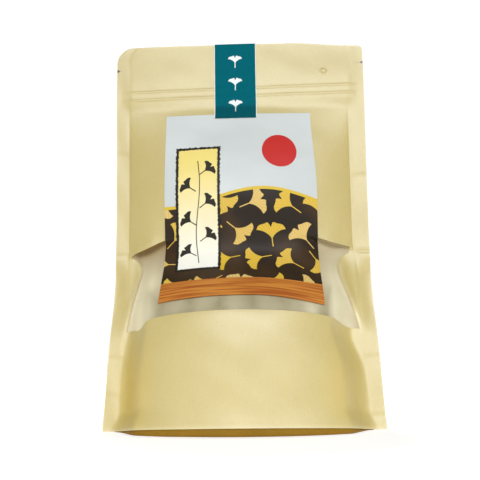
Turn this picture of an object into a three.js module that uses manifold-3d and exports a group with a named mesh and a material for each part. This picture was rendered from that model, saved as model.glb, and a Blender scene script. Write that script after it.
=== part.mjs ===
// A stand-up pouch of kraft paper: a front and a back panel sealed down both sides, a gusset
// folded in at the bottom, a press zip near the top and a frosted window across the front.
// Millimetres, +Z up, front towards -Y, origin under the middle of the pouch.
import * as THREE from "three";
import { mergeVertices } from "three/addons/utils/BufferGeometryUtils.js";
import Module from "manifold-3d";

// The flat pouch. Heights up the pouch are measured along its side seals.
const HALF_WIDTH_BASE = 80.5;
const HALF_WIDTH_CREASE = 79;
const HALF_WIDTH_TOP = 80;
const HEIGHT = 243;
const SIDE_SEAL = 8.5;
const LEFT_CORNER_RADIUS = 11;
const RIGHT_CORNER_RADIUS = 3.5;
const TOP_DROP = 2.4;
const TOP_DROP_FROM = 222;
const NOTCH_HEIGHT = 228.55;
const NOTCH_SKEW = 1.15;
const NOTCH_DEPTH = 1.5;
const NOTCH_HALF = 0.5;

// How it stands: the filled lower half leans back to the crease, the upper half nods forward.
const CREASE = 105;
const CREASE_BEND = 14;
const LEAN_BACK = THREE.MathUtils.degToRad(9.3);
const NOD_FORWARD = THREE.MathUtils.degToRad(3.7);
const SEAL_FOOT_Y = -3.105;
const SEAL_FOOT_Z = 0.2;

// Sheets, and the clearance between neighbouring ones.
const PAPER = 0.5;
const FILM = 0.4;
const PRINT = 0.4;
const GAP = 0.3;
const SEAL_SURFACE = GAP / 2 + PAPER;

// How far the middle of each panel stands out from the plane of the side seals, by height.
const FRONT_BULGE = [
  [0, 32.6], [6, 32.8], [13, 33.6], [30, 36], [45, 38], [58, 38.5], [66, 36.5], [75, 31], [84, 24],
  [92, 18.5], [100, 15.5], [106, 14.5], [114, 15.2], [124, 17], [134, 18.7], [145, 19], [160, 16], [172, 12],
  [182, 8], [192, 4.3], [200, 1.6], [207, 0.5], [225, 0.4], [HEIGHT, 0.2],
];
const BACK_BULGE = [
  [0, 29], [15, 31], [30, 31.5], [45, 31], [60, 29], [75, 25], [90, 19], [105, 13.5], [120, 11.5],
  [135, 11], [150, 9.8], [165, 8], [180, 5], [192, 2.6], [200, 1.1], [207, 0.4], [HEIGHT, 0.2],
];
const LOWER_ROUNDNESS = 0.52;
const UPPER_ROUNDNESS = 0.8;
const LIP_SAG = 0.9;
const HOLLOW_SHARE = 0.25;
const HOLLOW_LEAST = 0.2;
const HOLLOW_FULL = 26;
const BACK_LIFT_END = 70;

// The window, its film's lap behind the paper, and the tuck where the crease pulls it in.
const WINDOW_HALF = 64.5;
const WINDOW_HALVES = [[42, WINDOW_HALF], [56, 68.4], [75, 65], [92, 60.3], [104, 68], [120, WINDOW_HALF]];
const WINDOW_BOTTOM = 60.8;
const WINDOW_BOTTOM_DROP = 4;
const WINDOW_TOP_SIDE = 103.2;
const WINDOW_TOP_RISE = 13.5;
const FILM_LAP = 4;
const TUCK_SHARE = 0.65;
const TUCK_STEP = 2.5;
const TUCK_REACH = 26;
const TUCK_START = 0.4;

// Label, strip and zip on and in the panels.
const LABEL_HALF = 47;
const LABEL_TOP = 194.5;
const STRIP_HALF = 13.6;
const STRIP_X = -2.6;
const STRIP_FRONT_END = 191.5;
const STRIP_BACK_END = 198;
const STRIP_LAID = 201.5;
const ZIP_HEIGHT = 211.5;
const ZIP_HALF_LENGTH = 66;
const ZIP_POCKET = 1.4;
const ZIP_POCKET_HALF = 6;
const ZIP_POCKET_FADE = 3.5;
const ZIP_RIDGE = 0.5;
const ZIP_RIDGE_OFFSET = 2.5;

// The base and the nuts.
const GUSSET_RIM = 10;
const GUSSET_FOLD = 2.2;
const GUSSET_FOLD_HALF = 5;
const NUT_LENGTH = 17;
const NUT_WIDTH = 13;
const NUT_CLEARANCE = 1.2;
const NUT_TILT = 0.8;
const NUT_SEED = 7;

// Fractions of the half width, 0 at the middle and 1 at the outer edge.
const SEAL_EDGE = 1 - SIDE_SEAL / HALF_WIDTH_TOP;
const WINDOW_EDGE = WINDOW_HALF / HALF_WIDTH_TOP;
const LAP_EDGE = (WINDOW_HALF + FILM_LAP) / HALF_WIDTH_TOP;
const LABEL_EDGE = LABEL_HALF / HALF_WIDTH_TOP;
const STRIP_LEFT = (STRIP_X - STRIP_HALF) / HALF_WIDTH_TOP;
const STRIP_RIGHT = (STRIP_X + STRIP_HALF) / HALF_WIDTH_TOP;
const CORNER_BAND = 0.72;

const { clamp, lerp, mapLinear, smoothstep } = THREE.MathUtils;
const MERGE = 1e-4;

// A smooth curve through hand-set points [place, value], with each slope taken from its neighbours.
function smoothThrough(knots, place) {
  const last = knots.length - 1;
  const next = knots.findIndex(([at]) => at >= place);
  const b = next < 0 ? last : Math.max(next, 1);
  const a = b - 1;
  const slope = (i) => {
    const before = knots[Math.max(i - 1, 0)];
    const after = knots[Math.min(i + 1, last)];
    return (after[1] - before[1]) / (after[0] - before[0]);
  };
  const step = knots[b][0] - knots[a][0];
  const t = clamp((place - knots[a][0]) / step, 0, 1);
  const rise = knots[a][1] * (1 + 2 * t) * (1 - t) ** 2 + knots[b][1] * (3 - 2 * t) * t * t;
  return rise + step * (slope(a) * t * (1 - t) ** 2 - slope(b) * (1 - t) * t * t);
}

// The side seals' line up the pouch, bent softly at the crease, with the way each panel swells from it:
// forwards square to the line, backwards with a lift near the base that brings the lip up off the ground.
function sealLine(height) {
  const ramp = (d) => (d + Math.hypot(d, CREASE_BEND)) / 2;
  const past = ramp(height - CREASE) - ramp(-CREASE);
  const turned = (1 + (height - CREASE) / Math.hypot(height - CREASE, CREASE_BEND)) / 2;
  const lean = lerp(LEAN_BACK, -NOD_FORWARD, turned);
  return {
    y: SEAL_FOOT_Y + Math.sin(LEAN_BACK) * (height - past) - Math.sin(NOD_FORWARD) * past,
    z: SEAL_FOOT_Z + Math.cos(LEAN_BACK) * (height - past) + Math.cos(NOD_FORWARD) * past,
    frontLift: lean,
    backLift: LEAN_BACK * (1 - smoothstep(height, 0, BACK_LIFT_END)) + NOD_FORWARD * turned,
  };
}

// Distance from the middle line to a fraction of the width, with round top corners, the left one rounder,
// and a tear notch in each side, the right one higher.
function sideways(across, height) {
  const low = smoothstep(height, 0, CREASE);
  const high = smoothstep(height, CREASE, HEIGHT);
  const half = HALF_WIDTH_BASE + (HALF_WIDTH_CREASE - HALF_WIDTH_BASE) * low
    + (HALF_WIDTH_TOP - HALF_WIDTH_CREASE) * high;
  const radius = across < 0 ? LEFT_CORNER_RADIUS : RIGHT_CORNER_RADIUS;
  const intoCorner = clamp(height - (HEIGHT - radius), 0, radius);
  const corner = radius - Math.sqrt(radius ** 2 - intoCorner ** 2);
  const fromNotch = Math.abs(height - NOTCH_HEIGHT - NOTCH_SKEW * Math.sign(across));
  const notch = NOTCH_DEPTH * Math.max(0, 1 - fromNotch / NOTCH_HALF);
  const out = Math.abs(across);
  const cut = corner * clamp((out - CORNER_BAND) / (1 - CORNER_BAND), 0, 1)
    + notch * clamp((out - SEAL_EDGE) / (1 - SEAL_EDGE), 0, 1);
  return across * half - Math.sign(across) * cut;
}

// The window's upper edge is pulled down towards the seals by the crease.
function windowTop(across) {
  return WINDOW_TOP_SIDE + WINDOW_TOP_RISE * (1 - Math.min(1, Math.abs(across) / SEAL_EDGE) ** 3);
}

// The window's lower edge droops towards its corners.
function windowBottom(across) {
  return WINDOW_BOTTOM - WINDOW_BOTTOM_DROP * Math.min(1, Math.abs(across) / SEAL_EDGE) ** 2.5;
}

// Grid lines between the label and the seals shift to follow the window's sides, which come in
// towards the crease and splay out again under it.
function followWindow(across, height) {
  const side = smoothThrough(WINDOW_HALVES, height) / HALF_WIDTH_TOP;
  const out = Math.abs(across);
  const inside = mapLinear(out, LABEL_EDGE, WINDOW_EDGE, LABEL_EDGE, side);
  const outside = mapLinear(out, WINDOW_EDGE, SEAL_EDGE, side, SEAL_EDGE);
  if (out <= LABEL_EDGE || out >= SEAL_EDGE) return across;
  return Math.sign(across) * (out < WINDOW_EDGE ? inside : outside);
}

// Share of a panel's bulge lost in the tuck under the window's upper edge, deepest near the seals.
function tuck(across, height) {
  const below = windowTop(across) - height;
  const depth = smoothstep(below, 0, TUCK_STEP) * (1 - smoothstep(below, TUCK_STEP, TUCK_REACH));
  return TUCK_SHARE * depth * smoothstep(Math.abs(across), TUCK_START, WINDOW_EDGE);
}

// The pocket that the zip needs between the panels, with a ridge over each of its ribs.
function zipRise(across, height) {
  const off = height - ZIP_HEIGHT;
  const pocket = 1 - smoothstep(Math.abs(off), ZIP_POCKET_HALF, ZIP_POCKET_HALF + ZIP_POCKET_FADE);
  const ridge = (at) => Math.max(0, 1 - Math.abs(off - at) / ZIP_RIDGE_OFFSET);
  const ends = 1 - smoothstep(Math.abs(across), LAP_EDGE, SEAL_EDGE);
  return ends * (ZIP_POCKET * pocket + ZIP_RIDGE * (ridge(ZIP_RIDGE_OFFSET) + ridge(-ZIP_RIDGE_OFFSET)));
}

// A point of a panel's outer surface: side 1 is the front panel, -1 the back panel. Above the gusset's
// rim the swollen lower half runs out into each side seal in a hollow.
function panelPoint(side, across, height) {
  const swell = smoothThrough(side > 0 ? FRONT_BULGE : BACK_BULGE, height);
  const upper = 1 / (1 + Math.exp((CREASE - height) / 8));
  const inward = Math.min(1, Math.abs(across) / SEAL_EDGE);
  const hollow = lerp(HOLLOW_LEAST, 1, smoothstep(1 - inward, 0, HOLLOW_SHARE));
  const hollowed = smoothstep(height, GUSSET_RIM, HOLLOW_FULL) * (1 - upper);
  const round = lerp(1, hollow, hollowed) * (1 - inward ** 2) ** lerp(LOWER_ROUNDNESS, UPPER_ROUNDNESS, upper);
  const kept = side > 0 ? 1 - tuck(across, height) : 1;
  const out = SEAL_SURFACE + swell * round * kept + zipRise(across, height);
  const sag = LIP_SAG * round * (1 - smoothstep(height, 0, GUSSET_RIM));
  const drop = TOP_DROP * smoothstep(across, 0.4, 1) * smoothstep(height, TOP_DROP_FROM, HEIGHT);
  const seal = sealLine(height - sag - drop);
  const lift = side > 0 ? seal.frontLift : seal.backLift;
  return new THREE.Vector3(
    sideways(across, height), seal.y - side * Math.cos(lift) * out, seal.z + Math.sin(lift) * out);
}

// Grids of points: rows[j][i], and the outward normal at each point from its neighbours.
function normalsOf(rows) {
  return rows.map((row, j) => row.map((_, i) => {
    const left = row[Math.max(i - 1, 0)];
    const right = row[Math.min(i + 1, row.length - 1)];
    const below = rows[Math.max(j - 1, 0)][i];
    const above = rows[Math.min(j + 1, rows.length - 1)][i];
    const along = new THREE.Vector3().subVectors(right, left);
    return along.cross(new THREE.Vector3().subVectors(above, below)).normalize();
  }));
}

function shifted(rows, normals, distance) {
  return rows.map((row, j) => row.map((point, i) => point.clone().addScaledVector(normals[j][i], distance)));
}

// A closed solid between two grids alike, made of the cells that are kept, walled round every edge.
function slab(outer, inner, kept = () => true) {
  const rowCount = outer.length;
  const columnCount = outer[0].length;
  const positions = [...outer.flat(), ...inner.flat()].flatMap((point) => point.toArray());
  const outerAt = (j, i) => j * columnCount + i;
  const innerAt = (j, i) => rowCount * columnCount + outerAt(j, i);
  const inGrid = (j, i) => j >= 0 && i >= 0 && j < rowCount - 1 && i < columnCount - 1 && kept(j, i);
  const index = [];
  const wall = (j0, i0, j1, i1) => index.push(
    outerAt(j0, i0), innerAt(j0, i0), innerAt(j1, i1), outerAt(j0, i0), innerAt(j1, i1), outerAt(j1, i1));
  for (let j = 0; j < rowCount - 1; j += 1) {
    for (let i = 0; i < columnCount - 1; i += 1) {
      if (!inGrid(j, i)) continue;
      index.push(outerAt(j, i), outerAt(j, i + 1), outerAt(j + 1, i + 1));
      index.push(outerAt(j, i), outerAt(j + 1, i + 1), outerAt(j + 1, i));
      index.push(innerAt(j, i), innerAt(j + 1, i + 1), innerAt(j, i + 1));
      index.push(innerAt(j, i), innerAt(j + 1, i), innerAt(j + 1, i + 1));
      if (!inGrid(j - 1, i)) wall(j, i, j, i + 1);
      if (!inGrid(j, i + 1)) wall(j, i + 1, j + 1, i + 1);
      if (!inGrid(j + 1, i)) wall(j + 1, i + 1, j + 1, i);
      if (!inGrid(j, i - 1)) wall(j + 1, i, j, i);
    }
  }
  const geometry = new THREE.BufferGeometry();
  geometry.setAttribute("position", new THREE.Float32BufferAttribute(positions, 3));
  geometry.setIndex(index);
  return withUsedPoints(geometry);
}

// Drops the points that no face uses, such as those inside a window.
function withUsedPoints(geometry) {
  return mergeVertices(geometry.toNonIndexed(), MERGE);
}

function piece(name, geometry, colour, roughness) {
  geometry.computeVertexNormals();
  const finish = new THREE.MeshStandardMaterial({ color: colour, roughness, metalness: 0 });
  const mesh = new THREE.Mesh(geometry, finish);
  mesh.name = name;
  return mesh;
}

const pouch = new THREE.Group();

// One set of grid lines serves the panels, film, label and strip, so that their facets lie parallel.
const FOOT_EDGE = 0.877;
const halfColumns = [0.4, LABEL_EDGE, 0.7, WINDOW_EDGE, LAP_EDGE, FOOT_EDGE, SEAL_EDGE, 1];
const columns = [
  ...halfColumns.map((across) => -across).reverse(), STRIP_LEFT, -0.03, STRIP_RIGHT, ...halfColumns,
];
const cornerRows = [0, 30, 52, 72, 90].map((degrees) => (
  HEIGHT - LEFT_CORNER_RADIUS * (1 - Math.sin(THREE.MathUtils.degToRad(degrees)))));
const windowRows = [0.165, 0.32, 0.5, 0.7, 0.86, 0.947];
const chestRows = [0, 0.14, 0.5];
const CHEST = 136;
const headerRows = [
  STRIP_FRONT_END, LABEL_TOP, STRIP_BACK_END, ZIP_HEIGHT - ZIP_POCKET_HALF - ZIP_POCKET_FADE,
  ZIP_HEIGHT - ZIP_POCKET_HALF, ...[-2, -1, 0, 1, 2].map((step) => ZIP_HEIGHT + step * ZIP_RIDGE_OFFSET),
  ZIP_HEIGHT + ZIP_POCKET_HALF, ZIP_HEIGHT + ZIP_POCKET_HALF + ZIP_POCKET_FADE,
  ...[-1, 1].flatMap((side) => [-1, 0, 1].map((step) => (
    NOTCH_HEIGHT + side * NOTCH_SKEW + step * NOTCH_HALF))),
];
const rowHeights = [
  ...[0, 4, GUSSET_RIM, 24, 42].map((height) => () => height),
  (across) => windowBottom(across) - FILM_LAP,
  windowBottom,
  ...windowRows.map((part) => (across) => lerp(windowBottom(across), windowTop(across), part)),
  ...chestRows.map((part) => (across) => lerp(windowTop(across), CHEST, part)),
  ...[CHEST, 150, 164, 178, ...headerRows, ...cornerRows].map((height) => () => height),
];
const column = (across) => columns.indexOf(across);
const rowAt = (height) => rowHeights.findIndex((rowHeight) => rowHeight(0) >= height - MERGE);
const WINDOW_FIRST = rowAt(WINDOW_BOTTOM);
const WINDOW_LAST = WINDOW_FIRST + windowRows.length + 1;

const FOLLOW_PASSES = 5;
const frontRow = (rowHeight) => columns.map((across) => {
  let moved = across;
  for (let pass = 0; pass < FOLLOW_PASSES; pass += 1) moved = followWindow(across, rowHeight(moved));
  return panelPoint(1, moved, rowHeight(moved));
});
const front = rowHeights.map(frontRow);
const frontNormals = normalsOf(front);
const part = (rows, firstRow, lastRow, firstColumn, lastColumn) => (
  rows.slice(firstRow, lastRow + 1).map((row) => row.slice(firstColumn, lastColumn + 1)));

// The front panel, with the window's cells left out.
const inWindow = (j, i) => (
  j >= WINDOW_FIRST && j < WINDOW_LAST && i >= column(-WINDOW_EDGE) && i < column(WINDOW_EDGE));
const frontInner = shifted(front, frontNormals, -PAPER);
pouch.add(piece("front_panel", slab(front, frontInner, (j, i) => !inWindow(j, i)), 0xe5d8a3, 0.75));

// The film lies behind the window and laps under the paper all round.
const filmArea = [WINDOW_FIRST - 1, WINDOW_LAST + 1, column(-LAP_EDGE), column(LAP_EDGE)];
const filmOuter = part(shifted(front, frontNormals, -PAPER - GAP), ...filmArea);
const filmInner = part(shifted(front, frontNormals, -PAPER - GAP - FILM), ...filmArea);
pouch.add(piece("window_film", slab(filmOuter, filmInner), 0xcdc3a2, 0.45));

// The label is stuck across the front panel and the window.
const labelArea = [WINDOW_FIRST + 1, rowAt(LABEL_TOP), column(-LABEL_EDGE), column(LABEL_EDGE)];
const labelOuter = part(shifted(front, frontNormals, GAP + PRINT), ...labelArea);
const labelInner = part(shifted(front, frontNormals, GAP), ...labelArea);
pouch.add(piece("front_label", slab(labelOuter, labelInner), 0xc9b58a, 0.35));

// The back panel runs its columns the other way, so that its grid faces backwards.
const besideWindow = (height) => height < WINDOW_BOTTOM - FILM_LAP || height >= CHEST;
const aboveLabel = (height) => height > LABEL_TOP || height < STRIP_FRONT_END;
const backHeights = rowHeights.map((rowHeight) => rowHeight(0)).filter(besideWindow).filter(aboveLabel);
const backRows = [...backHeights, WINDOW_BOTTOM, 76, 92, 106, 121].sort((a, b) => a - b);
const back = backRows.map((height) => [...columns].reverse().map((across) => panelPoint(-1, across, height)));
const backNormals = normalsOf(back);
const backInner = shifted(back, backNormals, -PAPER);
pouch.add(piece("back_panel", slab(back, backInner), 0xe0d09a, 0.75));

// The strip goes up the front, over the label's top edge, over the pouch's top and down the back.
const stripColumns = [column(STRIP_LEFT), column(STRIP_RIGHT)];
const stripFrontRows = [rowAt(STRIP_FRONT_END), rowHeights.length - 1];
const lastColumn = columns.length - 1;
const stripBackFirst = backRows.indexOf(STRIP_BACK_END);
function stripFace(lift) {
  const overLabel = (height) => (PRINT + GAP) * (1 - smoothstep(height, LABEL_TOP, STRIP_LAID));
  const frontFace = part(front, ...stripFrontRows, ...stripColumns).map((row, j) => row.map((point, i) => {
    const normal = frontNormals[j + stripFrontRows[0]][i + stripColumns[0]];
    return point.clone().addScaledVector(normal, lift + overLabel(rowHeights[j + stripFrontRows[0]](0)));
  }));
  const backFace = part(shifted(back, backNormals, lift), stripBackFirst, backRows.length - 1,
    lastColumn - stripColumns[1], lastColumn - stripColumns[0]).map((row) => row.reverse()).reverse();
  const overTop = [0.25, 0.75].map((share) => frontFace.at(-1).map((point, i) => (
    point.clone().lerp(backFace[0][i], share).setZ(point.z + lift))));
  return [...frontFace, ...overTop, ...backFace];
}
pouch.add(piece("seal_strip", slab(stripFace(GAP + PRINT), stripFace(GAP)), 0x046576, 0.5));

// The gusset's rim is sealed inside the panels' lips; below them it swells out and lies on the ground,
// with its middle fold still standing a little.
const gussetColumns = columns.filter((across) => Math.abs(across) <= FOOT_EDGE);
const rimRows = [0, 4, GUSSET_RIM].map(rowAt);
function gussetColumn(across) {
  const i = column(across);
  const inside = -PAPER - GAP;
  const frontRim = rimRows.map((j) => front[j][i].clone().addScaledVector(frontNormals[j][i], inside));
  const backRim = rimRows.map((j) => (
    back[j][lastColumn - i].clone().addScaledVector(backNormals[j][lastColumn - i], inside)));
  const underLip = (lip) => {
    const middle = SEAL_FOOT_Y;
    const at = (share, z) => new THREE.Vector3(lip.x, lerp(middle, lip.y, share), z);
    const foldHalf = Math.min(GUSSET_FOLD_HALF / Math.abs(lip.y - middle), 0.3);
    return [at(1.005, lip.z * 0.5), at(0.975, lip.z * 0.12), at(0.93, 0), at(0.5, 0), at(foldHalf, 0)];
  };
  const fold = new THREE.Vector3(frontRim[0].x, SEAL_FOOT_Y, GUSSET_FOLD);
  return [
    ...backRim.toReversed(), ...underLip(backRim[0]), fold, ...underLip(frontRim[0]).reverse(), ...frontRim,
  ];
}
const gussetByColumn = gussetColumns.map(gussetColumn);
const gusset = gussetByColumn[0].map((_, j) => gussetByColumn.map((points) => points[j]));
const gussetInner = shifted(gusset, normalsOf(gusset), -PAPER);
pouch.add(piece("bottom_gusset", slab(gusset, gussetInner), 0x94712c, 0.8));

// The press zip: a groove between two ribs on the front web, one rib on the back web.
const ZIP_WEB_OUTER = 1.25;
const ZIP_WEB_INNER = 0.85;
const ZIP_WEB_HALF = 5;
const ZIP_TIP = 0.5;
const ZIP_RIB_HALF = 0.5;
const ZIP_GROOVE_HALF = 0.85;
const ZIP_WALL = 0.8;
function zipTrack(side, ribs) {
  const profile = new THREE.Shape();
  profile.moveTo(side * ZIP_WEB_INNER, -ZIP_WEB_HALF);
  for (const [low, high] of ribs) {
    profile.lineTo(side * ZIP_WEB_INNER, low);
    profile.lineTo(-side * ZIP_TIP, low);
    profile.lineTo(-side * ZIP_TIP, high);
    profile.lineTo(side * ZIP_WEB_INNER, high);
  }
  profile.lineTo(side * ZIP_WEB_INNER, ZIP_WEB_HALF);
  profile.lineTo(side * ZIP_WEB_OUTER, ZIP_WEB_HALF);
  profile.lineTo(side * ZIP_WEB_OUTER, -ZIP_WEB_HALF);
  const track = new THREE.ExtrudeGeometry(profile, { depth: 2 * ZIP_HALF_LENGTH, bevelEnabled: false });
  const turned = new THREE.Matrix4().makeBasis(
    new THREE.Vector3(0, 1, 0), new THREE.Vector3(0, 0, 1), new THREE.Vector3(1, 0, 0));
  track.translate(0, 0, -ZIP_HALF_LENGTH).applyMatrix4(turned);
  track.deleteAttribute("normal");
  track.deleteAttribute("uv");
  return mergeVertices(track);
}
const zip = new THREE.Group();
const zipSeal = sealLine(ZIP_HEIGHT);
zip.position.set(0, zipSeal.y, zipSeal.z);
zip.rotation.x = NOD_FORWARD;
const grooveWalls = [
  [-ZIP_GROOVE_HALF - ZIP_WALL, -ZIP_GROOVE_HALF],
  [ZIP_GROOVE_HALF, ZIP_GROOVE_HALF + ZIP_WALL],
];
zip.add(piece("zip_track_front", zipTrack(-1, grooveWalls), 0xe8e4d4, 0.4));
zip.add(piece("zip_track_back", zipTrack(1, [[-ZIP_RIB_HALF, ZIP_RIB_HALF]]), 0xe8e4d4, 0.4));
pouch.add(zip);

// The nuts: a layer against each panel and one on top, each nut sunk by half in a plain core.
const wasm = await Module();
wasm.setup();

function solid(geometry) {
  const merged = mergeVertices(geometry, MERGE);
  return new wasm.Manifold(new wasm.Mesh({
    numProp: 3,
    vertProperties: new Float32Array(merged.getAttribute("position").array),
    triVerts: new Uint32Array(merged.getIndex().array),
  }));
}

function drawFrom(seed) {
  let state = seed;
  return () => {
    state = (state * 1664525 + 1013904223) % 4294967296;
    return state / 4294967296;
  };
}

const draw = drawFrom(NUT_SEED);
const CORE_DEPTH = PAPER + GAP + FILM + NUT_CLEARANCE + NUT_WIDTH * 0.55;
const NUT_DEPTH = PAPER + GAP + FILM + NUT_CLEARANCE + NUT_LENGTH / 2;
const FILL_TOP = 72;
const fillColumns = [-0.66, -0.5, -0.25, 0, 0.25, 0.5, 0.66];
const fillRows = [9, 22, 36, 50, 62, FILL_TOP];

// A point inside the pouch, a given depth behind a panel's outer surface.
function insidePoint(side, across, height, depth) {
  const step = 0.01;
  const grid = [height - 1, height, height + 1].map((at) => [-step, 0, step].map((d) => (
    panelPoint(side, across + side * d, at))));
  return grid[1][1].addScaledVector(normalsOf(grid)[1][1], -depth);
}
const coreFace = (side) => fillRows.map((height) => fillColumns.map((across) => (
  insidePoint(side, across, height, CORE_DEPTH))));

function nut(centre) {
  const geometry = new THREE.IcosahedronGeometry(0.5, 0);
  geometry.deleteAttribute("normal");
  geometry.deleteAttribute("uv");
  geometry.scale(NUT_LENGTH, NUT_WIDTH, NUT_WIDTH);
  geometry.rotateX(draw() * Math.PI);
  geometry.rotateY((2 * draw() - 1) * NUT_TILT);
  geometry.rotateZ(draw() * Math.PI);
  geometry.translate(centre.x, centre.y, centre.z);
  return solid(geometry);
}

const nutRows = [7.5, 23, 38, 53, 68];
const nutColumns = [-0.66, -0.44, -0.22, 0, 0.22, 0.44, 0.66];
const centres = [];
for (const side of [1, -1]) {
  nutRows.forEach((height, j) => {
    for (const across of nutColumns) {
      const stagger = j % 2 ? 0.03 : -0.03;
      centres.push(insidePoint(side, across + stagger, height + 3 * (draw() - 0.5), NUT_DEPTH));
    }
  });
}
for (const across of nutColumns) {
  const frontSide = insidePoint(1, across, FILL_TOP, NUT_DEPTH);
  const backSide = insidePoint(-1, across, FILL_TOP, NUT_DEPTH);
  for (const share of [0.34, 0.7]) {
    centres.push(frontSide.clone().lerp(backSide, share).setZ(FILL_TOP + 5 * draw()));
  }
}
const core = solid(slab(coreFace(1), coreFace(-1)));
const heap = centres.reduce((sum, centre) => sum.add(nut(centre)), core);
const body = heap.decompose().sort((a, b) => b.volume() - a.volume())[0].getMesh();
const heapGeometry = new THREE.BufferGeometry();
heapGeometry.setAttribute("position", new THREE.Float32BufferAttribute(body.vertProperties, 3));
heapGeometry.setIndex([...body.triVerts]);
pouch.add(piece("nut_fill", heapGeometry, 0xd2b06e, 0.7));

export default pouch;
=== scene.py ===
# A kraft-paper stand-up pouch, standing on its gusset, front towards -Y.
# Sizes are in millimetres on the flat pouch; a height is measured up the side seals.
import math

import bpy
import numpy as np
from mathutils import Matrix


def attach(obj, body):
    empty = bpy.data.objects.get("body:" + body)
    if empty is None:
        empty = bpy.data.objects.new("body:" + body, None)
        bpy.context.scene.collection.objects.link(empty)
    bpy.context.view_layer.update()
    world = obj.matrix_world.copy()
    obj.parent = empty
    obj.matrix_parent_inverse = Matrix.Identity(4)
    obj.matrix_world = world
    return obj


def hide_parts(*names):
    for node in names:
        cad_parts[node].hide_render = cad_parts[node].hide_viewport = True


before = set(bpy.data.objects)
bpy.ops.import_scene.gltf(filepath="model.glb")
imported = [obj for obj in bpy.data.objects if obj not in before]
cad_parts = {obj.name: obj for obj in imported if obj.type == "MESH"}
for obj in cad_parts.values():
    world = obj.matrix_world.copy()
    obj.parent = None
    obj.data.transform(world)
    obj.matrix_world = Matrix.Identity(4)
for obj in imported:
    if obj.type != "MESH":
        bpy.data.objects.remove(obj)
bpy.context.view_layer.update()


# Front panel: one sheet of matt laminated kraft paper with a window punched across it, heat-sealed
# to the back panel down both sides and along the top. The filling swells its lower half, a crease
# above the filling pulls it in beside the label, and the zip shows through as two ridges.
MM = 0.001
HALF_WIDTH_BASE = 80.5
HALF_WIDTH_CREASE = 79.0
HALF_WIDTH_TOP = 80.0
HEIGHT = 243.0
SIDE_SEAL = 8.5
LEFT_CORNER_RADIUS = 11.0
RIGHT_CORNER_RADIUS = 3.5
CORNER_BAND = 0.72
CORNER_CURL = 1.2
CURL_FROM = 0.4
CURL_FOOT = 205.0
TOP_DROP = 2.4
TOP_DROP_FROM = 0.4
TOP_DROP_FOOT = 222.0
SEAL_TWIST = 2.8
TWIST_FROM = 0.86
TWIST_RISE = (50, 75)
TWIST_FALL = (88, 104)
NOTCH_HEIGHT = 228.55
NOTCH_SKEW = 1.15
NOTCH_DEPTH = 1.5
NOTCH_HALF = 0.12
# Reach in mm of the painted shadow round each notch's inner end.
NOTCH_SHADOW_REACH = 1.1
CREASE = 105.0
CREASE_BEND = 14.0
CREASE_SOFT = 8.0
LEAN_BACK = math.radians(9.3)
NOD_FORWARD = math.radians(3.7)
SEAL_FOOT_Y = -3.105
SEAL_FOOT_Z = 0.2
SEAL_SURFACE = 0.65
PAPER = 0.3
SEAL_MEET = 0.48
TOP_SEAL = 235.0
FRONT_BULGE = [
    (0, 32.6), (6, 32.8), (13, 33.6), (30, 36), (45, 38), (58, 38.5), (66, 36.5), (75, 31), (84, 24),
    (92, 18.5), (100, 15.5), (106, 14.5), (114, 15.2), (124, 17), (134, 18.7), (145, 19), (160, 16),
    (172, 12), (182, 8), (192, 4.3), (200, 1.6), (207, 0.5), (225, 0.4), (HEIGHT, 0.2),
]
BACK_BULGE = [
    (0, 29), (15, 31), (30, 31.5), (45, 31), (60, 29), (75, 25), (90, 19), (105, 13.5), (120, 11.5),
    (135, 11), (150, 9.8), (165, 8), (180, 5), (192, 2.6), (200, 1.1), (207, 0.4), (HEIGHT, 0.2),
]
LOWER_ROUNDNESS = 0.52
UPPER_ROUNDNESS = 0.8
LIP_SAG = 0.9
HOLLOW_SHARE = 0.25
FOOT_SEAL_EDGE = 0.955
FOOT_SEAL_END = 11.0
LOW_SEAL_EDGE = 0.905
LOW_SEAL_TOP = 50.0
UPPER_SEAL_FOOT = 100.0
LEFT_PINCH = 0.022
RIGHT_PINCH = 0.085
PINCH_HEIGHT = 54.0
PINCH_REACH = 14.0
RIGHT_SEAL_WIDER = 0.028
WIDER_RISE = (92, 112)
PANEL_RIPPLE = 0.3
PANEL_WAVES = (61, 43, 29, 18)
PANEL_SEED = 11
HEADER_WAVE = 0.5
HEADER_WAVES = (150, 95, 64)
HEADER_SEED = 3
HEADER_FOOT = 185.0
SEAL_RIPPLE = 0.25
SEAL_WAVES = (33, 21, 14)
SEAL_SEED = 5
SEAL_CREASES = ((105, -1), (105.5, 1), (41, -1), (40, 1), (19, -1), (7, 1), (153, 1), (170, -1))
SEAL_CREASE_RISE = 0.45
SEAL_CREASE_HALF = 1.1
GUSSET_RIM = 10.0
BACK_LIFT_END = 70.0
WINDOW_BOTTOM = 60.8
WINDOW_BOTTOM_DROP = 4.0
WINDOW_BOTTOM_CURVE = 2.5
LEFT_SILL_DIP = 3.0
SILL_DIP_ACROSS = -0.74
SILL_DIP_HALF = 0.06
WINDOW_TOP_SIDE = 103.2
WINDOW_TOP_RISE = 13.5
WINDOW_TOP_CURVE = 3
WINDOW_RIGHT_LIFT = 3.0
RIGHT_LIFT_RISE = (0.65, 0.9)
WINDOW_LEFT = [
    (57, 70.2), (67, 68.6), (76, 66.4), (85, 63.4), (92, 62), (96, 62.6), (100, 64.6), (104, 69.6),
]
WINDOW_RIGHT = [
    (57, 69.6), (65, 68), (74, 64.6), (82, 60.8), (90, 58.6), (96, 59), (101, 61.6), (105, 67),
]
WINDOW_EDGE = 0.8
TUCK_SHARE = 0.9
TUCK_STEP = 1.6
TUCK_REACH = 24.0
TUCK_START = 0.4
HEM_RISE = (48, 62)
HEM_FALL = (94, WINDOW_TOP_SIDE)
HEM_SET_BACK = 0.015
HEM_HALF = 0.03
ZIP_HEIGHT = 211.5
ZIP_SKEW = 0.3
ZIP_POCKET = 1.1
ZIP_POCKET_HALF = 4.5
ZIP_POCKET_FALL = 9.0
ZIP_RIDGE = 0.3
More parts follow.
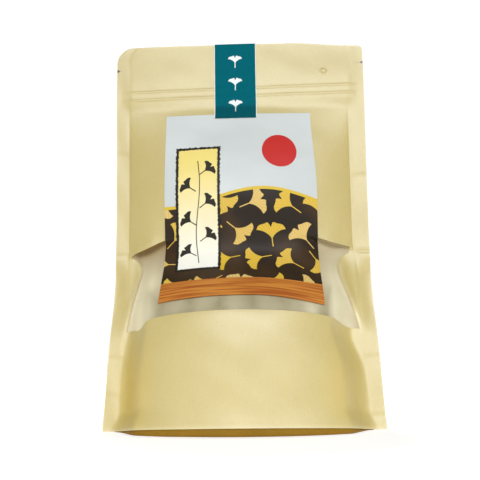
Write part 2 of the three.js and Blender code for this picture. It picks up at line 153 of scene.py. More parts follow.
ZIP_RIDGES = (1.15, -4.05)
ZIP_RIDGE_HALF = 0.8
RIDGE_SKEW = 1.15
LABEL_HALF = 47.0
SEAL_EDGE = 1 - SIDE_SEAL / HALF_WIDTH_TOP
LABEL_EDGE = LABEL_HALF / HALF_WIDTH_TOP
IN_SEAL = (SEAL_EDGE - 0.02, SEAL_EDGE + 0.03)
ZIP_FADE = 0.86
ZIP_END = 0.97


def ease(value, low, high):
    """Rises smoothly from 0 at low to 1 at high."""
    t = np.clip((value - low) / (high - low), 0, 1)
    return t * t * (3 - 2 * t)


def between(value, rise, fall):
    """Rises smoothly from 0 to 1 over one span and falls back to 0 over the next."""
    return ease(value, *rise) * (1 - ease(value, *fall))


def by_side(across, left, right):
    """One value left of the middle line and another right of it."""
    return np.where(across < 0, left, right)


def hump(value, middle, width):
    """A bell of height 1 round the middle."""
    return np.exp(-((value - middle) / width) ** 2)


def smooth_through(knots, place):
    """A smooth curve through given points, with each slope taken from its neighbours."""
    at, value = np.array(knots, float).T
    slope = np.gradient(value)
    slope[1:-1] = (value[2:] - value[:-2]) / (at[2:] - at[:-2])
    slope[0] = (value[1] - value[0]) / (at[1] - at[0])
    slope[-1] = (value[-1] - value[-2]) / (at[-1] - at[-2])
    b = np.clip(np.searchsorted(at, place), 1, len(at) - 1)
    a = b - 1
    step = at[b] - at[a]
    t = np.clip((place - at[a]) / step, 0, 1)
    rise = value[a] * (1 + 2 * t) * (1 - t) ** 2 + value[b] * (3 - 2 * t) * t * t
    return rise + step * (slope[a] * t * (1 - t) ** 2 - slope[b] * (1 - t) * t * t)


def ripples(across, height, wavelengths, seed):
    """Uneven paper: waves of several lengths in mm, in seeded directions, between about -1 and 1."""
    rng = np.random.default_rng(seed)
    total = 0
    for wavelength in wavelengths:
        angle, phase = rng.uniform(0, 2 * math.pi, 2)
        along = across * HALF_WIDTH_TOP * math.cos(angle) + height * math.sin(angle)
        total = total + np.sin(2 * math.pi * along / wavelength + phase)
    return total / len(wavelengths)


def seal_line(height):
    """The side seals' line, bent softly at the crease, and how far each panel's swelling is lifted."""
    past = (height - CREASE + np.hypot(height - CREASE, CREASE_BEND)) / 2
    past = past - (np.hypot(CREASE, CREASE_BEND) - CREASE) / 2
    turned = (1 + (height - CREASE) / np.hypot(height - CREASE, CREASE_BEND)) / 2
    y = SEAL_FOOT_Y + math.sin(LEAN_BACK) * (height - past) - math.sin(NOD_FORWARD) * past
    z = SEAL_FOOT_Z + math.cos(LEAN_BACK) * (height - past) + math.cos(NOD_FORWARD) * past
    front_lift = LEAN_BACK + (-NOD_FORWARD - LEAN_BACK) * turned
    back_lift = LEAN_BACK * (1 - ease(height, 0, BACK_LIFT_END)) + NOD_FORWARD * turned
    return y, z, front_lift, back_lift


def sideways(across, height):
    """Distance from the middle line, with round top corners and a tear notch in each side."""
    half = HALF_WIDTH_BASE + (HALF_WIDTH_CREASE - HALF_WIDTH_BASE) * ease(height, 0, CREASE)
    half = half + (HALF_WIDTH_TOP - HALF_WIDTH_CREASE) * ease(height, CREASE, HEIGHT)
    radius = by_side(across, LEFT_CORNER_RADIUS, RIGHT_CORNER_RADIUS)
    into_corner = np.clip(height - (HEIGHT - radius), 0, radius)
    corner = radius - np.sqrt(radius**2 - into_corner**2)
    from_notch = np.abs(height - NOTCH_HEIGHT - NOTCH_SKEW * np.sign(across))
    notch = NOTCH_DEPTH * np.clip(1 - from_notch / NOTCH_HALF, 0, 1)
    out = np.abs(across)
    cut = corner * np.clip((out - CORNER_BAND) / (1 - CORNER_BAND), 0, 1)
    cut = cut + notch * np.clip((out - SEAL_EDGE) / (1 - SEAL_EDGE), 0, 1)
    return across * half - np.sign(across) * cut


def window_top(across):
    """The window's upper edge is pulled down towards the seals by the crease, less so on the right."""
    lift = WINDOW_RIGHT_LIFT * ease(across, *RIGHT_LIFT_RISE)
    inward = np.minimum(1, np.abs(across) / SEAL_EDGE)
    return WINDOW_TOP_SIDE + WINDOW_TOP_RISE * (1 - inward**WINDOW_TOP_CURVE) + lift


def window_bottom(across):
    """The window's lower edge, which droops towards its corners and dips before the left one."""
    dip = LEFT_SILL_DIP * hump(across, SILL_DIP_ACROSS, SILL_DIP_HALF)
    inward = np.minimum(1, np.abs(across) / SEAL_EDGE)
    return WINDOW_BOTTOM - WINDOW_BOTTOM_DROP * inward**WINDOW_BOTTOM_CURVE - dip


def window_side(across, height):
    """The window's side edges come in towards the crease, where the paper folds over the film."""
    left = smooth_through(WINDOW_LEFT, height)
    right = smooth_through(WINDOW_RIGHT, height)
    return by_side(across, left, right) / HALF_WIDTH_TOP


def tuck(across, height):
    """Share of the swelling lost in the tuck under the window's upper edge, deepest near the seals."""
    below = window_top(across) - height
    depth = between(below, (0, TUCK_STEP), (TUCK_STEP, TUCK_REACH))
    return TUCK_SHARE * depth * ease(np.abs(across), TUCK_START, WINDOW_EDGE)


def zip_rise(across, height):
    """The zip's pocket between the panels, with a soft ridge over each of its ribs."""
    off = height - ZIP_HEIGHT - ZIP_SKEW * across
    below = 1 - ease(-off, ZIP_POCKET_HALF, ZIP_POCKET_HALF + ZIP_POCKET_FALL)
    above = 1 - ease(off, ZIP_POCKET_HALF, HEIGHT - ZIP_HEIGHT)
    over = height - ZIP_HEIGHT - RIDGE_SKEW * across
    ridges = sum(hump(over, ridge, ZIP_RIDGE_HALF) for ridge in ZIP_RIDGES)
    ends = 1 - ease(np.abs(across), ZIP_FADE, ZIP_END)
    return ends * (ZIP_POCKET * below * above + ZIP_RIDGE * ridges)


def hem_rise(across, height):
    """The paper's hem, rolled up along each side of the window."""
    crest = window_side(across, height) + HEM_SET_BACK
    return hump(np.abs(across), crest, HEM_HALF) * between(height, HEM_RISE, HEM_FALL)


def sway(across, height):
    """How far both panels together stray from the flat: curled corners, a wavy header, pinched seals."""
    from_middle = np.abs(sideways(across, height)) / HALF_WIDTH_TOP
    curl = CORNER_CURL * ease(from_middle, CURL_FROM, 1) * ease(height, CURL_FOOT, HEIGHT)
    wave = HEADER_WAVE * ripples(across, height, HEADER_WAVES, HEADER_SEED)
    wave = wave * ease(height, HEADER_FOOT, HEIGHT)
    in_seal = ease(np.abs(across), *IN_SEAL)
    twist = SEAL_TWIST * ease(np.abs(across), TWIST_FROM, 1) * between(height, TWIST_RISE, TWIST_FALL)
    uneven = SEAL_RIPPLE * ripples(across, height, SEAL_WAVES, SEAL_SEED)
    for at, side in SEAL_CREASES:
        uneven = uneven + SEAL_CREASE_RISE * hump(height, at, SEAL_CREASE_HALF) * (np.sign(across) == side)
    return curl + wave + twist + in_seal * uneven


def panel_point(side, across, height):
    """A point of a panel's outer surface: side 1 is the front panel, -1 the back panel."""
    swell = smooth_through(FRONT_BULGE if side > 0 else BACK_BULGE, height)
    upper = 1 / (1 + np.exp((CREASE - height) / CREASE_SOFT))
    edge = SEAL_EDGE + (LOW_SEAL_EDGE - SEAL_EDGE) * (1 - ease(height, LOW_SEAL_TOP, UPPER_SEAL_FOOT))
    edge = edge + (FOOT_SEAL_EDGE - LOW_SEAL_EDGE) * (1 - ease(height, 0, FOOT_SEAL_END))
    pinch = by_side(across, LEFT_PINCH, RIGHT_PINCH) * hump(height, PINCH_HEIGHT, PINCH_REACH)
    wider = RIGHT_SEAL_WIDER * (across > 0) * ease(height, *WIDER_RISE)
    edge = edge - (pinch + wider if side > 0 else 0)
    inward = np.minimum(1, np.abs(across) / edge)
    roundness = LOWER_ROUNDNESS + (UPPER_ROUNDNESS - LOWER_ROUNDNESS) * upper
    round_share = (1 - inward**2) ** roundness
    round_share = round_share * (upper + (1 - upper) * ease(1 - inward, 0, HOLLOW_SHARE))
    kept = 1 - tuck(across, height) if side > 0 else 1
    out = SEAL_SURFACE + swell * round_share * kept + zip_rise(across, height)
    out = out + round_share * PANEL_RIPPLE * ripples(across, height, PANEL_WAVES, PANEL_SEED + side)
    sag = LIP_SAG * round_share * (1 - ease(height, 0, GUSSET_RIM))
    sag = sag + TOP_DROP * ease(across, TOP_DROP_FROM, 1) * ease(height, TOP_DROP_FOOT, HEIGHT)
    y, z, front_lift, back_lift = seal_line(height - sag)
    lift = front_lift if side > 0 else back_lift
    y = y - side * np.cos(lift) * out + sway(across, height)
    z = z + np.sin(lift) * out
    return np.stack(np.broadcast_arrays(sideways(across, height), y, z), -1)


def normals_of(points):
    """Outward normals of a grid of points whose columns and rows turn anticlockwise seen from outside."""
    normal = np.cross(np.gradient(points, axis=1), np.gradient(points, axis=0))
    return normal / np.linalg.norm(normal, axis=2, keepdims=True)


UV_SPAN = 100.0
SHARP_EDGE = math.radians(48)


def slab(name, outer, inner, flat, kept=None, **marks):
    """A closed sheet between two grids alike, walled round every edge, with its flat lay as UV.
    Marks are values at the grid's points that the sheet's finish reads by name."""
    rows, columns = outer.shape[:2]
    kept = np.ones((rows - 1, columns - 1), bool) if kept is None else kept
    front = np.arange(rows * columns).reshape(rows, columns)
    corners = (front[:-1, :-1], front[:-1, 1:], front[1:, 1:], front[1:, :-1])
    behind = rows * columns
    faces = [np.stack(corners, -1)[kept], np.stack(corners[::-1], -1)[kept] + behind]
    ring = np.pad(kept, 1)
    beyond = (ring[:-2, 1:-1], ring[1:-1, 2:], ring[2:, 1:-1], ring[1:-1, :-2])
    for k, neighbour in enumerate(beyond):
        a = corners[k]
        b = corners[(k + 1) % 4]
        faces.append(np.stack((a, a + behind, b + behind, b), -1)[kept & ~neighbour])
    used, faces = np.unique(np.concatenate(faces), return_inverse=True)
    points = np.concatenate((outer.reshape(-1, 3), inner.reshape(-1, 3)))[used]
    mesh = bpy.data.meshes.new(name)
    mesh.from_pydata((points * MM).tolist(), [], faces.reshape(-1, 4).tolist())
    lay = np.tile(flat.reshape(-1, 2), (2, 1))[used]
    corner_points = np.empty(len(mesh.loops), int)
    mesh.loops.foreach_get("vertex_index", corner_points)
    mesh.uv_layers.new(name="flat").data.foreach_set("uv", (lay[corner_points] / UV_SPAN).ravel())
    for mark, values in marks.items():
        attribute = mesh.attributes.new(mark, "FLOAT", "POINT")
        attribute.data.foreach_set("value", np.tile(values.ravel(), 2)[used])
    mesh.shade_smooth()
    mesh.set_sharp_from_angle(angle=SHARP_EDGE)
    piece = bpy.data.objects.new(name, mesh)
    bpy.context.scene.collection.objects.link(piece)
    return piece


def fit(piece, node, finish):
    """Puts a finished piece in the place of its node."""
    piece.data.materials.append(finish.material)
    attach(piece, "root")
    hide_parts(node)


class Wire:
    """A shader socket that Python's operators work on, each adding a Math node."""

    def __init__(self, finish, socket):
        self.finish = finish
        self.socket = socket

    def output(self, index):
        return Wire(self.finish, self.socket.node.outputs[index])

    def math(self, operation, *others):
        values = dict(enumerate((self, *others)))
        return self.finish.add("ShaderNodeMath", {"operation": operation}, values)

    def soft(self, low, high):
        limits = {"Value": self, "From Min": low, "From Max": high}
        return self.finish.add("ShaderNodeMapRange", {"interpolation_type": "SMOOTHSTEP"}, limits)

    def __add__(self, other):
        return self.math("ADD", other)

    __radd__ = __add__

    def __mul__(self, other):
        return self.math("MULTIPLY", other)

    __rmul__ = __mul__

    def __sub__(self, other):
        return self.math("SUBTRACT", other)

    def __rsub__(self, other):
        return self * -1 + other

    def __truediv__(self, other):
        return self.math("DIVIDE", other)

    def __pow__(self, other):
        return self.math("POWER", other)

    def __abs__(self):
        return self.math("ABSOLUTE")


class Finish:
    """A material with its Principled shader, to which nodes are added by type."""

    def __init__(self, name, **constants):
        self.material = bpy.data.materials.new(name)
        self.material.use_nodes = True
        self.tree = self.material.node_tree
        self.shader = self.tree.nodes["Principled BSDF"]
        for socket, value in constants.items():
            self.shader.inputs[socket.replace("_", " ")].default_value = value

    def add(self, kind, settings=None, inputs=None, output=0):
        node = self.tree.nodes.new(kind)
        for name, value in (settings or {}).items():
            setattr(node, name, value)
        for name, value in (inputs or {}).items():
            self.put(node.inputs[name], value)
        return Wire(self, node.outputs[output])

    def put(self, socket, value):
        if isinstance(value, Wire):
            self.tree.links.new(value.socket, socket)
        else:
            socket.default_value = value

    def surface(self, **inputs):
        for name, value in inputs.items():
            self.put(self.shader.inputs[name.replace("_", " ")], value)

    def mix(self, share, first, second):
        return self.add("ShaderNodeMix", {"data_type": "RGBA"}, {0: share, 6: first, 7: second}, 2)

    def flat_mm(self):
        lay = self.add("ShaderNodeUVMap", {"uv_map": "flat"})
        split = self.add("ShaderNodeSeparateXYZ", {}, {0: lay})
        return split * UV_SPAN, split.output(1) * UV_SPAN

    def grain(self, x, y, long, wide, detail=2.0):
        """Noise between 0 and 1 whose specks are so many mm wide in x and long in y."""
        place = self.add("ShaderNodeCombineXYZ", {}, {0: x / wide, 1: y / long})
        settings = {"noise_dimensions": "2D"}
        return self.add("ShaderNodeTexNoise", settings, {"Vector": place, "Scale": 1.0, "Detail": detail})


def srgb(red, green, blue):
    """A screen colour from 0 to 255 as linear light."""
    shares = [part / 255 for part in (red, green, blue)]
    return (*[s / 12.92 if s <= 0.04045 else ((s + 0.055) / 1.055) ** 2.4 for s in shares], 1.0)


KRAFT_PALE = srgb(209, 190, 119)
KRAFT_DEEP = srgb(199, 179, 105)
# The paler colour of worn edges and of painted highlights and light.
KRAFT_WORN_LIT = srgb(234, 218, 168)
KRAFT_FLECK = srgb(160, 128, 70)
# The colour of the painted shade in the hollows beside the seals.
KRAFT_SHADE_GOLD = srgb(208, 176, 58)
# The colour of the painted shadow in the tear notches.
NOTCH_SHADOW = srgb(60, 48, 24)


def kraft(name, pale, deep, worn_lit, haze=1.0):
    """Kraft paper: long fibres both ways, faint clouds, sparse dark flecks; paler where its edges are worn
    and where highlights are painted, golden as painted shade in the hollows beside the seals, and dark
    brown as a painted shadow round the tear notches."""
    finish = Finish(name, Specular_IOR_Level=0.1 + 0.9 * haze, Coat_Roughness=0.45, Coat_IOR=1.7)
    x, y = finish.flat_mm()
    upright = finish.grain(x, y, 5.0, 0.45)
    lying = finish.grain(x, y, 0.4, 4.0)
    clouds = finish.grain(x, y, 34.0, 22.0, 3.0)
    flecks = finish.grain(x + 31.7, y, 1.6, 0.5, 1.0).soft(0.70, 0.78)
    fibres = upright * 0.5 + lying * 0.5
    tone = (fibres * 0.75 + clouds * 0.45 - 0.1).soft(0.15, 0.85)
    paper = finish.mix(tone, deep, pale)
    paper = finish.mix(flecks * 0.2, paper, KRAFT_FLECK)
    # Painted paler where the paper's edges are worn and where highlights and light are painted.
    fold = finish.add("ShaderNodeAttribute", {"attribute_name": "fold"}, {}, 2)
    paper = finish.mix(fold * 0.5, paper, worn_lit)
    # Painted shade: the paper is more golden, with less coat sheen, in the hollows beside the seals.
    hollow = finish.add("ShaderNodeAttribute", {"attribute_name": "hollow"}, {}, 2)
    paper = finish.mix(hollow * 0.8, paper, KRAFT_SHADE_GOLD)
    if haze:
        finish.surface(Coat_Weight=(1 - hollow * 0.6) * haze)
    # Painted shadow: the paper dark brown round the inner end of each tear notch.
    from_edge = abs(x) - (HALF_WIDTH_TOP - NOTCH_DEPTH / 2)
    from_notch = y - NOTCH_HEIGHT - x.math("SIGN") * NOTCH_SKEW
    notch_shadow = NOTCH_SHADOW_REACH - (from_edge * from_edge + from_notch * from_notch) ** 0.5
    paper = finish.mix(notch_shadow.soft(0.0, 0.3), paper, NOTCH_SHADOW)
    bump = {"Strength": 0.1, "Distance": 0.0004, "Height": fibres + clouds * 0.6}
    finish.surface(Base_Color=paper, Roughness=0.5 + fibres * 0.1)
    finish.surface(Normal=finish.add("ShaderNodeBump", {}, bump))
    return finish


def spread(*stops_and_counts):
    """Places along a line: a start, then a count and a stop for each stretch."""
    places = [np.array([stops_and_counts[0]], float)]
    for count, stop in zip(stops_and_counts[1::2], stops_and_counts[2::2]):
        places.append(np.linspace(places[-1][-1], stop, count + 1)[1:])
    return np.concatenate(places)


half_columns = np.concatenate((
    spread(0, 20, LABEL_EDGE, 36, WINDOW_EDGE),
    SEAL_EDGE - (SEAL_EDGE - WINDOW_EDGE) * (1 - spread(0, 18, 1)[1:]) ** 2,
    spread(SEAL_EDGE, 12, 1)[1:],
))
columns = np.concatenate((-half_columns[:0:-1], half_columns))
corner_rows = HEIGHT - LEFT_CORNER_RADIUS * (1 - np.sin(spread(0, 16, math.pi / 2)[1:]))
low_rows = spread(0, 8, 6, 32, 54)
sill_rows = spread(0, 6, 1)[1:]
window_rows = spread(0, 26, 0.8, 20, 1)[1:]
chest_rows = spread(0, 20, 1)[1:]
CHEST = 136.0
NOTCH_LOW = NOTCH_HEIGHT - NOTCH_SKEW
NOTCH_HIGH = NOTCH_HEIGHT + NOTCH_SKEW
notch_rows = spread(
    NOTCH_LOW - 2 * NOTCH_HALF, 8, NOTCH_LOW + 2 * NOTCH_HALF, 5,
    NOTCH_HIGH - 2 * NOTCH_HALF, 8, NOTCH_HIGH + 2 * NOTCH_HALF)
high_rows = np.concatenate((
    spread(CHEST, 28, 190, 12, 203, 38, 219, 20, notch_rows[0])[1:],
    spread(notch_rows[-1], 4, HEIGHT - LEFT_CORNER_RADIUS),
    corner_rows,
))
high_rows = np.sort(np.concatenate((high_rows, notch_rows[1:-1])))


def front_grid(column_places):
    """Across and height at each grid point; grid lines follow the window's edges."""
    groups = (low_rows, sill_rows, window_rows, chest_rows, high_rows)
    first_rows = np.cumsum([len(group) for group in groups])[:-1]
    out = np.abs(column_places)
    across = np.tile(column_places, (sum(len(group) for group in groups), 1))
    for _ in range(5):
        tops = np.split(window_top(across), first_rows)
        bottoms = np.split(window_bottom(across), first_rows)
        height = np.concatenate((
            np.broadcast_to(low_rows[:, None], tops[0].shape),
            low_rows[-1] + (bottoms[1] - low_rows[-1]) * sill_rows[:, None],
            bottoms[2] + (tops[2] - bottoms[2]) * window_rows[:, None],
            tops[3] + (CHEST - tops[3]) * chest_rows[:, None],
            np.broadcast_to(high_rows[:, None], tops[4].shape),
        ))
        side = window_side(across, height)
        within = LABEL_EDGE + (out - LABEL_EDGE) * (side - LABEL_EDGE) / (WINDOW_EDGE - LABEL_EDGE)
        beyond = side + (out - WINDOW_EDGE) * (SEAL_EDGE - side) / (SEAL_EDGE - WINDOW_EDGE)
        moved = np.where(out <= WINDOW_EDGE, np.where(out < LABEL_EDGE, out, within), beyond)
        across = np.sign(column_places) * np.where(out < SEAL_EDGE, moved, out)
    return across, height


def flat_lay(across, height):
    """Where a point lies on the flat pouch, in mm."""
    return np.stack((across * HALF_WIDTH_TOP, height), -1)


SEALED_FROM = SEAL_EDGE + 0.01
SEALED_FOOT_SHIFT = 0.03
SEALED_FADE = 0.02


def inner_face(side, outer, across, height):
    """A panel's inner face: a paper's thickness in, and where it is heat-sealed up to the other panel."""
    loose = outer - normals_of(outer) * PAPER
    facing = panel_point(-side, across, height)
    seam = outer + (facing - outer) * SEAL_MEET
    start = SEALED_FROM + SEALED_FOOT_SHIFT * (1 - ease(height, GUSSET_RIM, GUSSET_RIM + 8))
    at_sides = ease(np.abs(across), start, start + SEALED_FADE)
    sealed = np.maximum(at_sides, ease(height, TOP_SEAL, TOP_SEAL + 3))
    return loose + (seam - loose) * sealed[..., None]


# Painted shade in the hollows beside the seals: strength, place across and width of each.
HOLLOW_SHADES = ((0.95, -0.77, 0.115), (0.45, 0.7, 0.14))
HOLLOW_SHADE_RISE = (-6, 16)
HOLLOW_SHADE_FALL = (22, 58)


def painted_hollow_shade(across, height):
    """Painted shade: how golden the paper is painted in the hollows beside the seals, more so on the left.
    """
    hollows = sum(strength * hump(across, middle, width) for strength, middle, width in HOLLOW_SHADES)
    return hollows * between(height, HOLLOW_SHADE_RISE, HOLLOW_SHADE_FALL)


# Widths of the painted highlight along the lip and of the worn side and top edges.
LIP_HIGHLIGHT = 1.2
WORN_SIDE = 0.006
WORN_TOP = 0.7


def worn_and_lit_edges(across, height):
    """Where a panel's cut edges are painted pale: worn at the sides and top, a painted highlight along the
    lip.
    """
    sides = hump(np.abs(across), 1, WORN_SIDE)
    return hump(height, 0, LIP_HIGHLIGHT) + sides + hump(height, HEIGHT, WORN_TOP)


across, height = front_grid(columns)
HEM = 0.7
LEFT_FLAP = 2.2
RIGHT_FLAP = 0.7
FLAP_RISE = (0.58, 0.76)
FLAP_FALL = (0.8, SEAL_EDGE)
FLAP_FADE = 9.0
ON_EDGE = 0.01
VENT_X = 54.0
VENT_HEIGHT = 222.7
VENT_RADIUS = 1.5
VENT_RING_HALF = 0.6
VENT_RISE = 0.45
GROOVE = 0.04
GROOVE_HALF = 0.012
GROOVE_FALL = (190, 215)
# Two patches of painted light on the left seal, in the header and at the crease.
PAINTED_LIGHT_PATCHES = ((0.8, -0.93, 0.04, (201, 211), (226, 236)), (0.6, -0.86, 0.05, (72, 82), (96, 104)))
front = panel_point(1, across, height)
out = np.abs(across)
hem = hem_rise(across, height)
above = height - window_top(across)
flap = between(out, FLAP_RISE, FLAP_FALL) * by_side(across, LEFT_FLAP, RIGHT_FLAP)
flap = flap * (above > -ON_EDGE) * np.exp(-np.maximum(above, 0) / FLAP_FADE)
vent = np.hypot(across * HALF_WIDTH_TOP - VENT_X, height - VENT_HEIGHT)
groove = hump(out, SEAL_EDGE, GROOVE_HALF) * (1 - ease(height, *GROOVE_FALL))
relief = HEM * hem + flap + VENT_RISE * hump(vent, VENT_RADIUS, VENT_RING_HALF) - GROOVE * groove
front = front + normals_of(front) * relief[..., None]
first_window_row = len(low_rows) + len(sill_rows) - 1
window_cells = np.zeros((len(front) - 1, len(columns) - 1), bool)
in_window = np.abs((columns[1:] + columns[:-1]) / 2) < WINDOW_EDGE
window_cells[first_window_row : first_window_row + len(window_rows), in_window] = True
# Painted paler: the window's hem as a painted highlight on its ridge, the cut edges as wear with a painted
# highlight along the lip, and two patches of painted light on the left seal.
folds = hem + worn_and_lit_edges(across, height)
for strength, middle, width, rise, fall in PAINTED_LIGHT_PATCHES:
    folds = folds + strength * hump(across, middle, width) * between(height, rise, fall)
front_piece = slab(
    "kraft_front", front, inner_face(1, front, across, height), flat_lay(across, height), ~window_cells,
    fold=np.clip(folds, 0, 1), hollow=painted_hollow_shade(across, height))
kraft_front = kraft("kraft_front", KRAFT_PALE, KRAFT_DEEP, KRAFT_WORN_LIT)
fit(front_piece, "front_panel", kraft_front)


# Back panel: the same kraft paper in one plain sheet, swollen by the filling, with the zip's ridges.
# It is heat-sealed to the front panel, and its hollows get only a faint golden painted shade.
BACK_HOLLOW_SHADE = 0.3
back_rows = np.concatenate((low_rows, spread(low_rows[-1], 50, CHEST)[1:], high_rows))
across, height = np.meshgrid(columns[::-1], back_rows)
back = panel_point(-1, across, height)
back_piece = slab(
    "kraft_back", back, inner_face(-1, back, across, height), flat_lay(across, height),
    fold=np.clip(worn_and_lit_edges(across, height), 0, 1), hollow=BACK_HOLLOW_SHADE * painted_hollow_shade(across, height))
kraft_back = kraft("kraft_back", KRAFT_PALE, KRAFT_DEEP, KRAFT_WORN_LIT)
fit(back_piece, "back_panel", kraft_back)


# Bottom gusset: a folded sheet of kraft sealed inside the panels' lips. The filling opens it into
# a boat-shaped floor that swells out under the lips, with its middle fold still standing a little.
GUSSET_PAPER = 0.3
GUSSET_EDGE = 0.92
GUSSET_TIP = 0.86
GUSSET_FOLD = 2.2
GUSSET_FOLD_HALF = 5.0
GUSSET_FLOOR = 0.02
GUSSET_ROW = 3.0
ROWS_PER_STEP = 5
ROUNDINGS = 6
TIP_FALL = 0.9
RIM_GAP = 0.8
TIP_GAP_LOSS = 0.45
gusset_columns = columns[np.abs(columns) <= GUSSET_EDGE]
rim_heights = np.array([GUSSET_RIM, 5.0, 1.5, 0.0])


def rim(side):
    """The line of points on the inside of a panel's lip, from the rim down, for every column."""
    order = 1 if side > 0 else -1
    across, height = np.meshgrid(gusset_columns[::order], rim_heights[::-1])
    tip = ease(np.abs(across), GUSSET_TIP, GUSSET_EDGE)
    points = panel_point(side, across, height * (1 - TIP_FALL * tip))
    inside = points - normals_of(points) * (RIM_GAP - TIP_GAP_LOSS * tip)[..., None]
    return inside[::-1, ::order]


def under_lip(lip):
    """Points from a lip down to the ground and in to the foot of the middle fold."""
    deep = lip[:, 1] - SEAL_FOOT_Y
    fold_foot = np.minimum(GUSSET_FOLD_HALF / np.abs(deep), 0.3)
    shares = [(1.008, 0.6), (1.0, 0.3), (0.97, 0.08), (0.93, 0.0), (0.75, 0.0), (0.5, 0.0)]
    shares.append((fold_foot, 0.0))
    return [np.stack((lip[:, 0], SEAL_FOOT_Y + deep * share, lip[:, 2] * up), -1) for share, up in shares]


front_rim = rim(1)
back_rim = rim(-1)
fold_height = GUSSET_FOLD * (1 - TIP_FALL * ease(np.abs(gusset_columns), GUSSET_TIP, GUSSET_EDGE))
fold_depth = np.full(len(gusset_columns), SEAL_FOOT_Y)
middle = np.stack((gusset_columns * HALF_WIDTH_BASE, fold_depth, fold_height), -1)
section = [*back_rim, *under_lip(back_rim[-1]), middle, *under_lip(front_rim[-1])[::-1], *front_rim[::-1]]
section = np.array(section)
steps = spread(0, ROWS_PER_STEP * (len(section) - 1), len(section) - 1)
ends = np.floor(np.minimum(steps, len(section) - 2)).astype(int)
share = (steps - ends)[:, None, None]
gusset = section[ends] * (1 - share) + section[ends + 1] * share
for _ in range(ROUNDINGS):
    gusset[1:-1] = (gusset[:-2] + 2 * gusset[1:-1] + gusset[2:]) / 4
gusset[..., 2] = np.maximum(gusset[..., 2], GUSSET_FLOOR)
gusset_normals = normals_of(gusset)
gusset_lay = np.stack(np.broadcast_arrays(gusset[..., 0], GUSSET_ROW * steps[:, None]), -1)
gusset_piece = slab("kraft_gusset", gusset, gusset - gusset_normals * GUSSET_PAPER, gusset_lay)
# Painted shade: the gusset's kraft is painted a darker brown, without sheen, for the shade under the lips.
kraft_gusset = kraft("kraft_gusset", srgb(150, 114, 34), srgb(132, 98, 26), srgb(170, 140, 80), 0.0)
fit(gusset_piece, "bottom_gusset", kraft_gusset)


# Zip tracks: two extruded strips of milky polyethylene welded inside the panels, a rib that presses
# into a groove. They stay as the solids they are.
zip_plastic = Finish("zip_plastic", Roughness=0.4, Subsurface_Weight=0.1)
place = zip_plastic.add("ShaderNodeTexCoord", {}, {}, 3)
streaks = zip_plastic.add("ShaderNodeTexNoise", {}, {"Vector": place, "Scale": 900.0})
zip_plastic.surface(Base_Color=zip_plastic.mix(streaks, srgb(226, 222, 206), srgb(240, 237, 224)))
for name in ("zip_track_front", "zip_track_back"):
    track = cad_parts[name]
    track.data.materials.clear()
    track.data.materials.append(zip_plastic.material)


# Nuts: dry oval nuts with a faint seam round their length, poured in to fill the lower third. They
# lie in rows against both panels, with a loose crown on top.
NUT_LENGTH = 17.0
NUT_WIDTH = 13.0
NUT_TILT = 0.8
NUT_CLEARANCE = 2.4
NUT_DEPTH = NUT_CLEARANCE + NUT_LENGTH / 2
NUT_STAGGER = 0.03
NUT_SHIFT = 3.0
CROWN_SHARES = (0.34, 0.7)
CROWN_RISE = 5.0
FILL_TOP = 72.0
nut_rows = (7.5, 23, 38, 53, 68)
nut_columns = (-0.66, -0.44, -0.22, 0, 0.22, 0.44, 0.66)


def draws(seed):
    """The seeded draws, between 0 and 1, that place the nuts."""
    state = seed
    while True:
        state = (state * 1664525 + 1013904223) % 2**32
        yield state / 2**32


def inside_point(side, across, height, depth):
    """A point so many mm inside a panel's outer surface."""
    step = 0.01 * side
    grid = np.meshgrid((across - step, across, across + step), (height - 1, height, height + 1))
    points = panel_point(side, *grid)
    return points[1, 1] - normals_of(points)[1, 1] * depth


draw = draws(7)
centres = []
for side in (1, -1):
    for j, nut_height in enumerate(nut_rows):
        for place_across in nut_columns:
            stagger = NUT_STAGGER if j % 2 else -NUT_STAGGER
            shift = NUT_SHIFT * (next(draw) - 0.5)
            centres.append(inside_point(side, place_across + stagger, nut_height + shift, NUT_DEPTH))
for place_across in nut_columns:
    near = inside_point(1, place_across, FILL_TOP, NUT_DEPTH)
    far = inside_point(-1, place_across, FILL_TOP, NUT_DEPTH)
    for share in CROWN_SHARES:
        centre = near + (far - near) * share
        centre[2] = FILL_TOP + CROWN_RISE * next(draw)
        centres.append(centre)

NUT_RINGS = 13
NUT_SIDES = 20
NUT_SEAM = 0.05
NUT_SEAM_HALF = 0.22
NUT_POINT = 0.05
turns = np.linspace(0, 2 * math.pi, NUT_SIDES + 1)[:-1]
ring, turn = np.meshgrid(np.linspace(0, math.pi, NUT_RINGS), turns)
seam = 1 + NUT_SEAM * (hump(turn, math.pi / 2, NUT_SEAM_HALF) + hump(turn, 3 * math.pi / 2, NUT_SEAM_HALF))
taper = np.sin(ring) ** 0.85
nut_shape = np.stack((
    np.cos(ring) * NUT_LENGTH / 2 * (1 + NUT_POINT * np.cos(ring) ** 8),
    np.cos(turn) * taper * seam * NUT_WIDTH / 2,
    np.sin(turn) * taper * seam * NUT_WIDTH / 2,
), -1)
nut_index = np.arange(ring.size).reshape(ring.shape)
after = np.roll(nut_index, -1, axis=0)
nut_faces = np.stack((nut_index[:, :-1], nut_index[:, 1:], after[:, 1:], after[:, :-1]), -1).reshape(-1, 4)
points = []
faces = []
tones = []
for k, centre in enumerate(centres):
    roll = next(draw) * math.pi
    tilt = (2 * next(draw) - 1) * NUT_TILT
    heading = next(draw) * math.pi
    turned = Matrix.Rotation(heading, 3, "Z") @ Matrix.Rotation(tilt, 3, "Y")
    turned = turned @ Matrix.Rotation(roll, 3, "X")
    points.append(nut_shape.reshape(-1, 3) @ np.array(turned).T + centre)
    faces.append(nut_faces + k * ring.size)
    tones.append(np.full(ring.size, next(draw)))
nut_mesh = bpy.data.meshes.new("nuts")
nut_mesh.from_pydata((np.concatenate(points) * MM).tolist(), [], np.concatenate(faces).tolist())
